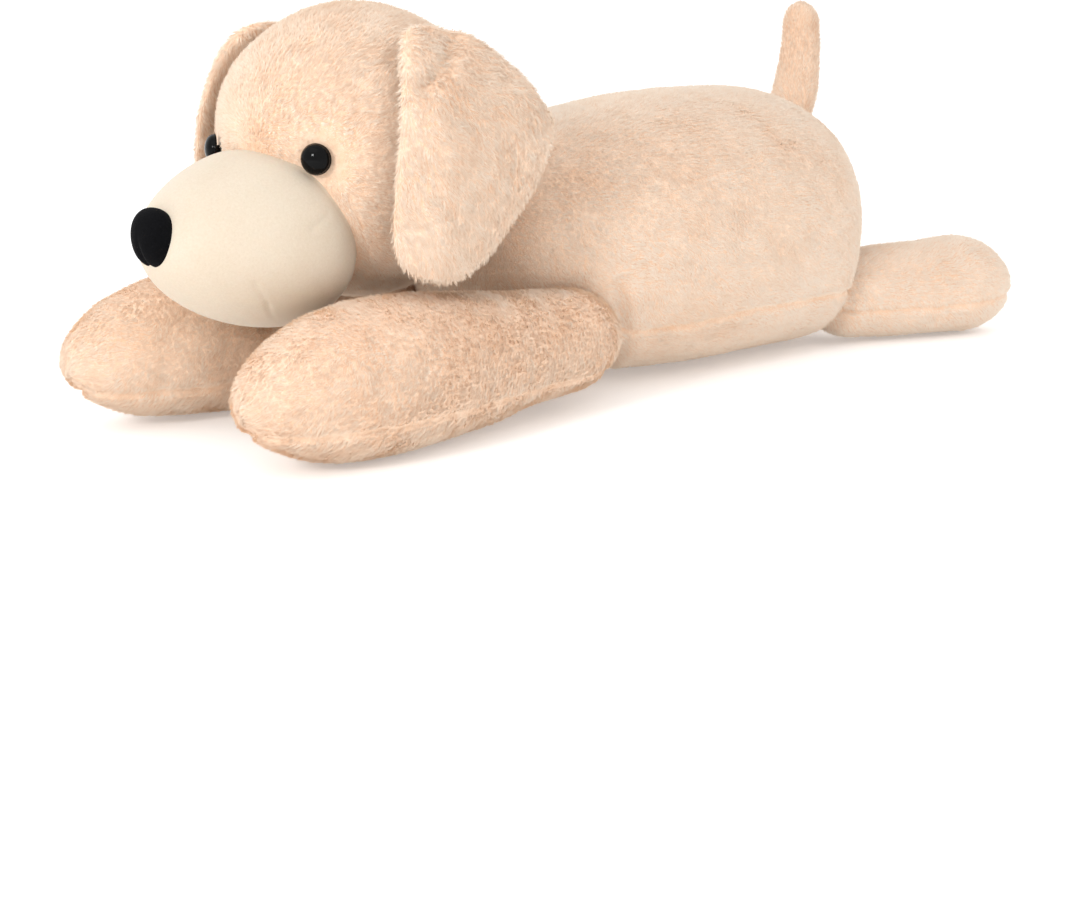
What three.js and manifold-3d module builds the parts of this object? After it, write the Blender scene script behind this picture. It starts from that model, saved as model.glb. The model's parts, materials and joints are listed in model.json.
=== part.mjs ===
// A stuffed plush dog lying on its belly, forelegs forward, hind legs stretched back, tail up.
// Millimetres, +Z up. The nose points along -Y and the dog's own left side is +X.
// Every stuffed part is made the way a soft toy is sewn: cloth panels that meet at seams,
// around a filling of its own, and every limb turns on a ball-shaped root.

import * as THREE from 'three';
import { mergeVertices } from 'three/addons/utils/BufferGeometryUtils.js';
import Module from 'manifold-3d';

const wasm = await Module();
wasm.setup();

// ---------- driving dimensions ----------

// Cloth and clearances
const coverWall = 3; // plush backing with its pile pressed flat
const seamGap = 0.3; // between pieces that are sewn or packed together
const swingGap = 1; // between pieces that move against each other

// Body
const bodyWidth = 302;
const bodyHeight = 250; // before the belly is pressed flat
const bodyCentreHeight = 119;
const bodyWidestY = 162;
const bodyFrontLength = 315; // from the widest section to the chest
const bodyRearLength = 168; // from the widest section to the rump
const bodyFrontFullness = 2.5; // exponent of the outline, 2 is an ellipse
const bodyRearFullness = 2.4;
const rumpFullness = 3; // the same for its height, so that the rump stays high
const bellyFullness = 2.5; // of the lower half of each cross-section
const bodySeamHeight = 57;

// Head
const headRadius = 114;
const headY = -249;
const chinHeight = 99; // the chin lies between the forelegs
const headHeight = chinHeight + headRadius; // of the centre above the floor
const gussetLow = [40, 195]; // half width and height where the forehead panel ends, under muzzle and neck
const gussetHigh = [79, 285]; // half width and height beside the ears

// Muzzle
const muzzleWidth = 156;
const muzzleDepth = 140; // top to bottom
const muzzleLength = 111; // from its widest section to the tip
const muzzleRearLength = 65;
const muzzleRootY = -338; // the widest section
const muzzleHeight = 155; // of its axis above the floor
const muzzleFullness = 1.8;

// Nose
const noseWidth = 40;
const noseTall = 44;
const noseBulge = 9; // how far it stands out of the muzzle
const noseHalfDepth = 14.4; // of the whole oval, most of it inside the muzzle
const noseHeight = 163;
const noseWall = 1.5;

// Eyes
const eyeDiameter = 22.5;
const eyeRimDiameter = 26;
const eyeRimThickness = 2;
const eyeRimEdge = 1.2; // thickness of the rim at its outer edge
const eyeDomeHeight = 7;
const eyeSpacing = 124; // between the two centres
const eyeSink = 6.5; // the thread through each eye pulls it this far into the head
const eyeSinkSpread = 30; // how far around the eye the cloth is drawn in
const eyeHeight = 216;
const shankDiameter = 6;
const shankLength = 13;
const washerDiameter = 21;
const washerThickness = 2.5;
const shankSpare = 3; // free space behind the end of the shank

// Ears, a padded flap that hangs from the side of the crown
const earRootAngle = 48; // degrees from the top of the head to the hinge line
const earRootY = -253;
const earThickness = 24;
const earLength = 181; // from the hinge line to the lowest point
const earWidth = 160;
const earRootWidth = 54;
const earRootRise = 8.4; // how far the padded root stands above the hinge line
const earWall = 2.5;
const earClearance = 3; // between the ear and the head at rest
const earSeamGap = 0.6; // between its two panels, which are bent after they are cut

// Forelegs
const forelegBall = 44; // radius of the root that turns in the shoulder
const forelegLength = 333; // from the shoulder pivot to the tip of the paw
const forelegPawRadius = 61.5;
const forelegPawRound = 135; // length of the rounded paw end
const forelegAxisHeight = 57.5;
const forelegSplay = 0.8; // degrees outwards from straight ahead
const forelegSoleHeight = 34; // height of the sole seam
const forelegSwing = 35; // degrees outwards, the chin is in the way inwards
const shoulderX = 102;
const shoulderY = -121;

// Hind legs
const hindlegBall = 45;
const hindlegLength = 184;
const hindlegPawRadius = 50;
const hindlegPawRound = 68;
const hindlegAxisHeight = 46;
const hindlegSplay = 23;
const hindlegSoleHeight = 36;
const hindlegSwing = [-10, 30]; // degrees, outwards is positive
const hipX = 100;
const hipY = 285;

// Tail
const tailBall = 25;
const tailTipRadius = 19;
const tailTipRound = 24; // length of the rounded tip
const tailLength = 115; // from the pivot to the tip
const tailPivotY = 314;
const tailPivotHeight = 205;
const tailSweep = 25; // how far the tip leans back
const tailBend = 2.5; // how early it does so, 1 is evenly

// Fineness of the meshes: segments around and along
const headFine = [26, 14];
const muzzleFine = [20, 10];
const bodyFine = [26, 16];
const legFine = [16, 2];
const tailFine = [12, 2];
const tailRoomFine = [16, 12];
const earFine = [22, 8];
const noseFine = [16, 8];
const eyeFine = 20;
const coarse = 0.65; // share of the segments on faces that nobody sees
const swingStep = 15; // degrees between the positions that clear a leg's room
const roomSpare = 2; // facet depths by which that coarser room is grown

// ---------- materials ----------

function cloth(colour, roughness) {
  return new THREE.MeshStandardMaterial({ color: colour, roughness, metalness: 0 });
}

const plush = () => cloth(0xe3c3a6, 0.95);
const velboa = () => cloth(0xeddcbf, 0.85);
const blackVelour = () => cloth(0x101013, 0.9);
const filling = () => cloth(0xf4f2ee, 1);
const blackPlastic = () => new THREE.MeshStandardMaterial({ color: 0x050506, roughness: 0.08, metalness: 0 });
const whitePlastic = () => new THREE.MeshStandardMaterial({ color: 0xe6e6e2, roughness: 0.5, metalness: 0 });

// ---------- solids ----------

function solid(geometry) {
  const bare = geometry.index ? geometry.clone() : geometry;
  bare.deleteAttribute('normal');
  bare.deleteAttribute('uv');
  const merged = mergeVertices(bare, 1e-3);
  const mesh = new wasm.Mesh({
    numProp: 3,
    vertProperties: new Float32Array(merged.attributes.position.array),
    triVerts: new Uint32Array(merged.index.array),
  });
  mesh.merge();
  return new wasm.Manifold(mesh);
}

function geometryOf(body) {
  const mesh = body.getMesh();
  const geometry = new THREE.BufferGeometry();
  geometry.setAttribute('position', new THREE.BufferAttribute(mesh.vertProperties, 3));
  geometry.setIndex(new THREE.BufferAttribute(mesh.triVerts, 1));
  return geometry;
}

const reach = 1200; // larger than the dog in every direction

// A block of space, its open sides reach past the dog
function block({ x = [-reach, reach], y = [-reach, reach], z = [-reach, reach] }) {
  const box = new THREE.BoxGeometry(x[1] - x[0], y[1] - y[0], z[1] - z[0]);
  box.translate((x[0] + x[1]) / 2, (y[0] + y[1]) / 2, (z[0] + z[1]) / 2);
  return solid(box);
}

function ball(radius, centre, [around, along]) {
  return solid(new THREE.SphereGeometry(radius, around, along).translate(centre.x, centre.y, centre.z));
}

const hidden = (fineness) => fineness.map((segments) => Math.round(segments * coarse));

// Turns every triangle over, after a mapping that mirrors
function turnedOver(geometry) {
  const index = geometry.index;
  for (let i = 0; i < index.count; i += 3) {
    const second = index.getX(i + 1);
    index.setX(i + 1, index.getX(i + 2));
    index.setX(i + 2, second);
  }
  return geometry;
}

function mirrored(body) {
  return solid(turnedOver(geometryOf(body).scale(-1, 1, 1)));
}

// Moves every vertex inwards along its own normal
function inset(geometry, distance) {
  const bare = geometry.clone();
  bare.deleteAttribute('normal');
  bare.deleteAttribute('uv');
  const merged = mergeVertices(bare, 1e-3);
  merged.computeVertexNormals();
  const position = merged.attributes.position;
  const normal = merged.attributes.normal;
  for (let i = 0; i < position.count; i += 1) {
    position.setXYZ(
      i,
      position.getX(i) - normal.getX(i) * distance,
      position.getY(i) - normal.getY(i) * distance,
      position.getZ(i) - normal.getZ(i) * distance,
    );
  }
  return merged;
}

// The outside, the hollow and the filling of one stuffed form that may rest on the floor
function stuffed(form, fineness) {
  const fill = coverWall + seamGap;
  const outside = solid(form(fineness)).intersect(block({ z: [0, reach] }));
  const hollow = solid(inset(form(hidden(fineness)), coverWall)).intersect(block({ z: [coverWall, reach] }));
  const core = solid(inset(form(hidden(fineness)), fill)).intersect(block({ z: [fill, reach] }));
  return { hollow, core, shell: outside.subtract(hollow) };
}

// A closed outline turned about Y: exponents shape the two ends
function barrel({ frontLength, rearLength, frontFullness, rearFullness }, [around, along]) {
  const points = [];
  for (let i = 0; i <= along; i += 1) {
    const angle = (Math.PI * i) / along;
    const front = angle < Math.PI / 2;
    const power = 2 / (front ? frontFullness : rearFullness);
    const length = front ? -frontLength : rearLength;
    const end = i === 0 || i === along;
    const radius = end ? 0 : Math.sin(angle) ** power;
    points.push(new THREE.Vector2(radius, length * Math.abs(Math.cos(angle)) ** power));
  }
  return new THREE.LatheGeometry(points, around);
}

// A limb along +Y: a ball around its pivot that swells towards a rounded end, along counts per curve
function limb({ rootRadius, endRadius, endRound, length }, [around, along]) {
  const outline = new THREE.Path();
  outline.absarc(0, 0, rootRadius, -Math.PI / 2, 0, false);
  const middle = (length - endRound) / 2;
  outline.splineThru([
    new THREE.Vector2((rootRadius + endRadius) / 2, middle),
    new THREE.Vector2(endRadius, length - endRound),
  ]);
  outline.absellipse(0, length - endRound, endRadius, endRound, 0, Math.PI / 2, false, 0);
  const points = outline.getPoints(along);
  points[0].x = 0;
  points[points.length - 1].x = 0;
  return new THREE.LatheGeometry(points, around);
}

const degrees = THREE.MathUtils.degToRad;
const dog = new THREE.Group();

function addPiece(parent, name, body, material) {
  const mesh = new THREE.Mesh(geometryOf(body), material);
  mesh.name = name;
  parent.add(mesh);
}

// ---------- head, muzzle and nose ----------

const headCentre = new THREE.Vector3(0, headY, headHeight);

// Where an eye sits: the outward direction from the head's centre, side is 1 for left and -1 for right
function eyeDirection(side) {
  const sideways = (eyeSpacing / 2) * side;
  const up = eyeHeight - headHeight;
  const forward = Math.sqrt(headRadius ** 2 - sideways ** 2 - up ** 2);
  return new THREE.Vector3(sideways, -forward, up).normalize();
}

// A ball whose surface is drawn in around each eye
function headForm([around, along]) {
  const sphere = new THREE.SphereGeometry(headRadius, around, along);
  sphere.rotateX(Math.PI / 2);
  const position = sphere.attributes.position;
  const point = new THREE.Vector3();
  const eyes = [1, -1].map((side) => eyeDirection(side).multiplyScalar(headRadius));
  for (let i = 0; i < position.count; i += 1) {
    point.fromBufferAttribute(position, i);
    const near = Math.min(...eyes.map((eye) => eye.distanceTo(point))) / eyeSinkSpread;
    point.setLength(headRadius - eyeSink * Math.exp(-near * near));
    position.setXYZ(i, point.x, point.y, point.z);
  }
  return sphere.translate(headCentre.x, headCentre.y, headCentre.z);
}

function muzzleForm(fineness) {
  const shape = {
    frontLength: muzzleLength,
    rearLength: muzzleRearLength,
    frontFullness: muzzleFullness,
    rearFullness: 2,
  };
  const egg = barrel(shape, fineness);
  egg.scale(muzzleWidth / 2, 1, muzzleDepth / 2);
  egg.translate(0, muzzleRootY, muzzleHeight);
  return egg;
}

const head = stuffed(headForm, headFine);
const muzzle = stuffed(muzzleForm, muzzleFine);

// The muzzle is sewn into an opening of the head cover, so each is cut by the other
const muzzleOpening = solid(inset(muzzleForm(muzzleFine), -seamGap));
const headCover = head.shell.subtract(muzzleOpening);
const muzzleCover = muzzle.shell.subtract(head.hollow);
const muzzleCore = muzzle.core.subtract(head.hollow);

// Turns a lathe about +Y so that it points along a direction from the head's centre
function alongEye(geometry, side) {
  const turn = new THREE.Quaternion().setFromUnitVectors(new THREE.Vector3(0, 1, 0), eyeDirection(side));
  geometry.applyQuaternion(turn);
  geometry.translate(headCentre.x, headCentre.y, headCentre.z);
  return geometry;
}

const eyeSeat = headRadius - eyeSink + seamGap; // distance from the head's centre to the back of the rim

function eyeForm(side) {
  const outline = new THREE.Path();
  const shank = shankDiameter / 2;
  outline.moveTo(0, eyeSeat - shankLength);
  outline.lineTo(shank, eyeSeat - shankLength);
  outline.lineTo(shank, eyeSeat);
  outline.lineTo(eyeRimDiameter / 2, eyeSeat);
  outline.lineTo(eyeRimDiameter / 2, eyeSeat + eyeRimEdge);
  outline.lineTo(eyeDiameter / 2, eyeSeat + eyeRimThickness);
  const domeBase = eyeSeat + eyeRimThickness;
  const dome = new THREE.EllipseCurve(0, domeBase, eyeDiameter / 2, eyeDomeHeight, 0, Math.PI / 2);
  const points = [...outline.getPoints(1), ...dome.getPoints(4).slice(1)];
  points[points.length - 1].x = 0;
  return alongEye(new THREE.LatheGeometry(points, eyeFine), side);
}

const washerFace = eyeSeat - coverWall - 2 * seamGap; // the washer presses the cloth from inside

function ringForm(inner, outer, low, high, side) {
  const points = [
    new THREE.Vector2(inner, low),
    new THREE.Vector2(outer, low),
    new THREE.Vector2(outer, high),
    new THREE.Vector2(inner, high),
    new THREE.Vector2(inner, low),
  ];
  return alongEye(new THREE.LatheGeometry(points, eyeFine), side);
}

function rodForm(radius, low, high, side) {
  const points = [
    new THREE.Vector2(0, low),
    new THREE.Vector2(radius, low),
    new THREE.Vector2(radius, high),
    new THREE.Vector2(0, high),
  ];
  return alongEye(new THREE.LatheGeometry(points, eyeFine), side);
}

const shankHole = shankDiameter / 2 + seamGap;
const pocketBottom = eyeSeat - shankLength - shankSpare;
const outsideHead = headRadius + shankLength;

// The cloth lies flat between rim and washer, and the filling leaves room for washer and shank
let headPanels = headCover;
let headFilling = head.core;
for (const side of [1, -1]) {
  const shankRoom = rodForm(shankHole, pocketBottom, outsideHead, side);
  const rimRoom = rodForm(eyeRimDiameter / 2 + seamGap, eyeSeat - seamGap, outsideHead, side);
  const washerRoom = rodForm(washerDiameter / 2 + seamGap, pocketBottom, washerFace + seamGap, side);
  const fillingRoom = rodForm(washerDiameter / 2 + seamGap, pocketBottom, outsideHead, side);
  for (const room of [shankRoom, rimRoom, washerRoom]) {
    headPanels = headPanels.subtract(solid(room));
  }
  headFilling = headFilling.subtract(solid(fillingRoom));
}

// The space of the forehead panel: a wedge that widens upwards, grown on every side by a gap
function gussetSpace(gap) {
  const slope = (gussetHigh[0] - gussetLow[0]) / (gussetHigh[1] - gussetLow[1]);
  const top = gussetHigh[1] + headRadius;
  const low = gussetLow[1] - gap;
  const halfAt = (height) => gussetLow[0] + gap + slope * (height - gussetLow[1]);
  const outline = new THREE.Shape();
  outline.moveTo(-halfAt(low), low);
  outline.lineTo(halfAt(low), low);
  outline.lineTo(halfAt(top), top);
  outline.lineTo(-halfAt(top), top);
  const wedge = new THREE.ExtrudeGeometry(outline, { depth: 2 * reach, bevelEnabled: false });
  return solid(wedge.rotateX(Math.PI / 2).translate(0, reach, 0));
}

// Nose: a padded oval on the upper part of the muzzle's tip
const noseShare = (noseHeight - muzzleHeight) / (muzzleDepth / 2);
const noseY = muzzleRootY - muzzleLength * (1 - noseShare ** muzzleFullness) ** (1 / muzzleFullness);

function noseForm(shrink, fineness) {
  const sphere = new THREE.SphereGeometry(1, ...fineness);
  sphere.scale(noseWidth / 2 - shrink, noseHalfDepth - shrink, noseTall / 2 - shrink);
  sphere.translate(0, noseY + noseHalfDepth - noseBulge, noseHeight);
  return solid(sphere);
}

const noseHollow = noseForm(noseWall, hidden(noseFine));
const noseShell = noseForm(0, noseFine).subtract(noseHollow).subtract(muzzleOpening);
const noseCore = noseForm(noseWall + seamGap, hidden(noseFine)).subtract(muzzleOpening);

// ---------- ears ----------

// Half thickness of the padding, and the cylinder that its middle surface is wrapped around
const earHalf = earThickness / 2;
const earWrapRadius = headRadius + earClearance + earHalf;

// Flat pattern: u runs from front to rear, v down from the hinge line
function earOutline() {
  const half = earWidth / 2;
  const root = earRootWidth / 2;
  const top = -earRootRise;
  const point = (u, v) => new THREE.Vector3(u, v, 0);
  return new THREE.CatmullRomCurve3(
    [
      point(-root, top),
      point(root * 0.9, top),
      point(half * 0.74, earLength * 0.11),
      point(half * 1.13, earLength * 0.38),
      point(half * 0.96, earLength * 0.61),
      point(half * 0.57, earLength * 0.8),
      point(half * 0.08, earLength * 0.97),
      point(-half * 0.42, earLength),
      point(-half * 0.78, earLength * 0.9),
      point(-half * 0.79, earLength * 0.58),
      point(-half * 0.67, earLength * 0.26),
    ],
    true,
    'centripetal',
  );
}

// A flat pillow with that outline, its seam in the plane t = 0
function earPillow(shrink, [around, rings]) {
  const rim = earOutline().getSpacedPoints(around);
  const centre = new THREE.Vector3(0, earLength * 0.48, 0);
  const half = earHalf - shrink;
  const pillow = new THREE.SphereGeometry(1, around, rings);
  const position = pillow.attributes.position;
  const edge = new THREE.Vector3();
  for (let i = 0; i < position.count; i += 1) {
    const x = position.getX(i);
    const z = position.getZ(i);
    const flat = Math.min(1, Math.hypot(x, z)) ** (2 / 3);
    const lift = Math.min(1, Math.abs(position.getY(i))) ** (2 / 3);
    const turn = (Math.atan2(-z, x) / (2 * Math.PI) + 1) % 1;
    edge.copy(rim[Math.round(turn * around) % around]).sub(centre);
    edge.setLength(edge.length() - shrink * 1.3);
    const height = half * lift * Math.sign(position.getY(i));
    position.setXYZ(i, centre.x + edge.x * flat, centre.y + edge.y * flat, height);
  }
  return solid(pillow);
}

// Wraps the flat ear down the side of the head
function hangEar(body) {
  const geometry = geometryOf(body);
  const position = geometry.attributes.position;
  const start = degrees(earRootAngle);
  const arc = earWrapRadius * (Math.PI / 2 - start);
  for (let i = 0; i < position.count; i += 1) {
    const u = position.getX(i);
    const v = position.getY(i);
    const radius = earWrapRadius + position.getZ(i);
    const angle = Math.min(start + v / earWrapRadius, Math.PI / 2);
    const below = Math.max(0, v - arc);
    position.setXYZ(i, radius * Math.sin(angle), earRootY + u, headHeight + radius * Math.cos(angle) - below);
  }
  return solid(turnedOver(geometry));
}

const earShell = earPillow(0, earFine).subtract(earPillow(earWall, hidden(earFine)));
const earOuter = earShell.intersect(block({ z: [earSeamGap / 2, reach] }));
const earInner = earShell.intersect(block({ z: [-reach, -earSeamGap / 2] }));
const earWadding = earPillow(earWall + seamGap, hidden(earFine));

// ---------- legs ----------

function forelegForm(fineness) {
  const shape = {
    rootRadius: forelegBall,
    endRadius: forelegPawRadius,
    endRound: forelegPawRound,
    length: forelegLength,
  };
  return limb(shape, fineness).rotateZ(Math.PI + degrees(forelegSplay));
}

function hindlegForm(fineness) {
  const shape = {
    rootRadius: hindlegBall,
    endRadius: hindlegPawRadius,
    endRound: hindlegPawRound,
    length: hindlegLength,
  };
  return limb(shape, fineness).rotateZ(-degrees(hindlegSplay));
}

// One leg at its pivot: two panels that meet at the sole seam, the filling, and the room it swings in
function legPieces({ form, pivot, axisHeight, soleHeight, swing }) {
  const placed = (fineness) => form(fineness).translate(pivot.x, pivot.y, axisHeight);
  const parts = stuffed(placed, legFine);
  const [around] = hidden(legFine);
  const facetDepth = forelegPawRadius * (1 - Math.cos(Math.PI / around));
  const grown = inset(form(hidden(legFine)), -swingGap - roomSpare * facetDepth);
  let room = solid(inset(placed(legFine), -swingGap));
  const steps = Math.ceil((swing[1] - swing[0]) / swingStep);
  for (let i = 0; i <= steps; i += 1) {
    const angle = degrees(swing[0] + ((swing[1] - swing[0]) * i) / steps);
    room = room.add(solid(grown.clone().rotateZ(angle).translate(pivot.x, pivot.y, axisHeight)));
  }
  return {
    top: parts.shell.intersect(block({ z: [soleHeight + seamGap / 2, reach] })),
    sole: parts.shell.intersect(block({ z: [-reach, soleHeight - seamGap / 2] })),
    filling: parts.core,
    room,
  };
}

const foreleg = legPieces({
  form: forelegForm,
  pivot: new THREE.Vector2(shoulderX, shoulderY),
  axisHeight: forelegAxisHeight,
  soleHeight: forelegSoleHeight,
  swing: [0, forelegSwing],
});
const hindleg = legPieces({
  form: hindlegForm,
  pivot: new THREE.Vector2(hipX, hipY),
  axisHeight: hindlegAxisHeight,
  soleHeight: hindlegSoleHeight,
  swing: hindlegSwing.map((angle) => -angle).reverse(),
});

// ---------- tail ----------

function tailForm(fineness) {
  const shape = { rootRadius: tailBall, endRadius: tailTipRadius, endRound: tailTipRound, length: tailLength };
  const form = limb(shape, fineness);
  form.rotateX(Math.PI / 2);
  const position = form.attributes.position;
  for (let i = 0; i < position.count; i += 1) {
    const rise = Math.min(1, Math.max(0, position.getZ(i)) / tailLength);
    position.setY(i, position.getY(i) + tailSweep * (1 - (1 - rise) ** tailBend));
  }
  return form.translate(0, tailPivotY, tailPivotHeight);
}

const tail = stuffed(tailForm, tailFine);
const tailRoom = ball(tailBall + 2 * swingGap, new THREE.Vector3(0, tailPivotY, tailPivotHeight), tailRoomFine);

// ---------- body ----------

function bodyForm(fineness) {
  const shape = {
    frontLength: bodyFrontLength,
    rearLength: bodyRearLength,
    frontFullness: bodyFrontFullness,
    rearFullness: bodyRearFullness,
  };
  const form = barrel(shape, fineness);
  const position = form.attributes.position;
  for (let i = 0; i < position.count; i += 1) {
    const x = position.getX(i);
    const z = position.getZ(i);
    const radius = Math.hypot(x, z);
    if (z < 0 && radius > 0) {
      const power = 2 / bellyFullness;
      position.setX(i, Math.sign(x) * radius * Math.abs(x / radius) ** power);
      position.setZ(i, -radius * Math.abs(z / radius) ** power);
    }
    const behind = position.getY(i) / bodyRearLength;
    if (behind > 0 && radius > 0) {
      const tall = Math.max(0, 1 - behind ** rumpFullness) ** (1 / rumpFullness);
      position.setZ(i, (position.getZ(i) / radius) * tall);
    }
  }
  form.scale(bodyWidth / 2, 1, bodyHeight / 2);
  return form.translate(0, bodyWidestY, bodyCentreHeight);
}

const body = stuffed(bodyForm, bodyFine);

// Hollows that the head, the limbs' roots and the tail turn in
const headRoom = ball(headRadius + swingGap, headCentre, headFine);
const legRooms = [foreleg.room, mirrored(foreleg.room), hindleg.room, mirrored(hindleg.room)];
const bodyHollows = [headRoom, tailRoom, ...legRooms];

function withHollows(piece) {
  return bodyHollows.reduce((rest, hollow) => rest.subtract(hollow), piece);
}

const bodyCover = withHollows(body.shell);
const bodyFilling = withHollows(body.core);

// ---------- assembly ----------

const bodyGroup = new THREE.Group();
const aboveSeam = block({ z: [bodySeamHeight + seamGap / 2, reach] });
const belowSeam = block({ z: [-reach, bodySeamHeight - seamGap / 2] });
addPiece(bodyGroup, 'body_back_cover', bodyCover.intersect(aboveSeam), plush());
addPiece(bodyGroup, 'body_belly_cover', bodyCover.intersect(belowSeam), plush());
addPiece(bodyGroup, 'body_stuffing', bodyFilling, filling());
dog.add(bodyGroup);

const headGroup = new THREE.Group();
const headSides = headPanels.subtract(gussetSpace(seamGap));
addPiece(headGroup, 'head_gusset', headPanels.intersect(gussetSpace(0)), plush());
addPiece(headGroup, 'head_side_left', headSides.intersect(block({ x: [seamGap / 2, reach] })), plush());
addPiece(headGroup, 'head_side_right', headSides.intersect(block({ x: [-reach, -seamGap / 2] })), plush());
addPiece(headGroup, 'head_stuffing', headFilling, filling());
addPiece(headGroup, 'muzzle_cover', muzzleCover, velboa());
addPiece(headGroup, 'muzzle_stuffing', muzzleCore, filling());
addPiece(headGroup, 'nose_cover', noseShell, blackVelour());
addPiece(headGroup, 'nose_filling', noseCore, filling());
for (const [name, side] of [['left', 1], ['right', -1]]) {
  const washer = ringForm(shankHole, washerDiameter / 2, washerFace - washerThickness, washerFace, side);
  addPiece(headGroup, `eye_${name}`, solid(eyeForm(side)), blackPlastic());
  addPiece(headGroup, `eye_washer_${name}`, solid(washer), whitePlastic());
}
dog.add(headGroup);

const sides = [
  { name: 'left', place: (piece) => piece },
  { name: 'right', place: mirrored },
];
for (const { name, place } of sides) {
  const ear = new THREE.Group();
  addPiece(ear, `ear_outer_${name}`, place(hangEar(earOuter)), plush());
  addPiece(ear, `ear_inner_${name}`, place(hangEar(earInner)), plush());
  addPiece(ear, `ear_wadding_${name}`, place(hangEar(earWadding)), filling());
  headGroup.add(ear);
  for (const [limbName, pieces] of [['foreleg', foreleg], ['hindleg', hindleg]]) {
    const leg = new THREE.Group();
    addPiece(leg, `${limbName}_top_${name}`, place(pieces.top), plush());
    addPiece(leg, `${limbName}_sole_${name}`, place(pieces.sole), plush());
    addPiece(leg, `${limbName}_stuffing_${name}`, place(pieces.filling), filling());
    dog.add(leg);
  }
}

const tailGroup = new THREE.Group();
addPiece(tailGroup, 'tail_left_cover', tail.shell.intersect(block({ x: [seamGap / 2, reach] })), plush());
addPiece(tailGroup, 'tail_right_cover', tail.shell.intersect(block({ x: [-reach, -seamGap / 2] })), plush());
addPiece(tailGroup, 'tail_stuffing', tail.core, filling());
dog.add(tailGroup);

export default dog;
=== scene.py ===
import json
import math

import bpy
import numpy as np
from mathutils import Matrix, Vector
from mathutils.bvhtree import BVHTree


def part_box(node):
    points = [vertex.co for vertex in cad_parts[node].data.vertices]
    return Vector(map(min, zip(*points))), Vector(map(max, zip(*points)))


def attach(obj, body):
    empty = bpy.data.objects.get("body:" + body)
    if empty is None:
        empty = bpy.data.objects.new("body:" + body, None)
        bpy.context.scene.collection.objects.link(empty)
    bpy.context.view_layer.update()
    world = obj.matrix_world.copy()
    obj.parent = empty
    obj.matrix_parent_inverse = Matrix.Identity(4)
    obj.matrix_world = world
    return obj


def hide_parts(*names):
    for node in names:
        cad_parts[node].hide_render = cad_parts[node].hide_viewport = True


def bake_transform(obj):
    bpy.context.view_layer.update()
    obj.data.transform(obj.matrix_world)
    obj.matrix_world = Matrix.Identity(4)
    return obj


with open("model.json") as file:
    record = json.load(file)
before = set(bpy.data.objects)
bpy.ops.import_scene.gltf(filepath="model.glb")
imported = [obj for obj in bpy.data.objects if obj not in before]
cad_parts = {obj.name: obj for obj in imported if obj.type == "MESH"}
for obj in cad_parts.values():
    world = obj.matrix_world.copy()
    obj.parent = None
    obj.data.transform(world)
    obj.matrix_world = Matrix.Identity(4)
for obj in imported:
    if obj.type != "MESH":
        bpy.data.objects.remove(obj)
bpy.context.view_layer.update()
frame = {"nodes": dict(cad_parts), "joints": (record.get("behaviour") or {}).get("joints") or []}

# A plush dog lying on its belly. Metres, +Z up, the nose towards -Y, its own left side +X.
# Each stuffed part is a backing cloth with a pile of short strands on it, except the muzzle and nose, which are
# smooth cloth; seams are drawn in on the body, head, muzzle and legs.

jointAt = {j["name"]: np.array(j.get("pos_m", (0, 0, 0)), float) for j in frame["joints"]}
mm = 0.001


# Numbers over a surface.

def unit(vectors):
    return vectors / np.maximum(np.linalg.norm(vectors, axis=-1, keepdims=True), 1e-12)


def lattice(cells, seed):
    # a repeatable number from 0 to 1 for every whole cell
    h = cells.astype(np.int64) * np.array([73856093, 19349663, 83492791])
    h = (h[..., 0] ^ h[..., 1] ^ h[..., 2]) + seed * 2654435761
    h = (h ^ (h >> 15)) * 2246822519 & 0xFFFFFFFF
    h = (h ^ (h >> 13)) * 3266489917 & 0xFFFFFFFF
    return ((h ^ (h >> 16)) & 0xFFFFFF) / float(0xFFFFFF)


def wander(points, size, seed=0):
    # smooth noise from -1 to 1 whose lumps are about that size
    p = points / size
    base = np.floor(p)
    f = p - base
    f = f * f * (3 - 2 * f)
    total = 0
    for corner in range(8):
        step = np.array([corner & 1, corner >> 1 & 1, corner >> 2 & 1])
        weight = np.prod(np.where(step, f, 1 - f), axis=-1)
        total = total + weight * lattice(base + step, seed)
    return total * 2 - 1


def smoothStep(values, low, high):
    t = np.clip((values - low) / (high - low), 0, 1)
    return t * t * (3 - 2 * t)


def liftFrom(z, ground, soft):
    # z never goes below ground, and it turns onto it smoothly
    return ground + (z - ground + np.sqrt((z - ground) ** 2 + soft ** 2)) / 2


# Meshes.

def closedGrid(around, along, place):
    # a closed surface from rings between two poles, place(turn, way) gives the points
    turn, way = np.meshgrid(np.arange(around) / around * 2 * np.pi, np.linspace(0, np.pi, along + 1)[1:-1])
    rings = place(turn.ravel(), way.ravel())
    ends = place(np.zeros(2), np.array([0.0, np.pi]))
    points = np.vstack([rings, ends])
    count = along - 1
    i, j = np.meshgrid(np.arange(count - 1), np.arange(around), indexing="ij")
    k = (j + 1) % around
    here, beyond = i * around, (i + 1) * around
    quads = np.stack([here + j, here + k, beyond + k, beyond + j], -1).reshape(-1, 4)
    first, last = len(rings), len(rings) + 1
    j = np.arange(around)
    k = (j + 1) % around
    top = np.stack([np.full(around, first), k, j], -1)
    low = (count - 1) * around
    bottom = np.stack([np.full(around, last), low + j, low + k], -1)
    faces = [list(q) for q in quads.tolist()] + top.tolist() + bottom.tolist()
    tri = trianglesOf(faces)
    a, b, c = (points[tri[:, n]] for n in range(3))
    if np.einsum("ij,ij->i", a, np.cross(b, c)).sum() < 0:
        faces = [f[::-1] for f in faces]
    return points, faces


def trianglesOf(faces):
    out = []
    for f in faces:
        out.append((f[0], f[1], f[2]))
        if len(f) == 4:
            out.append((f[0], f[2], f[3]))
    return np.array(out)


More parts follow.
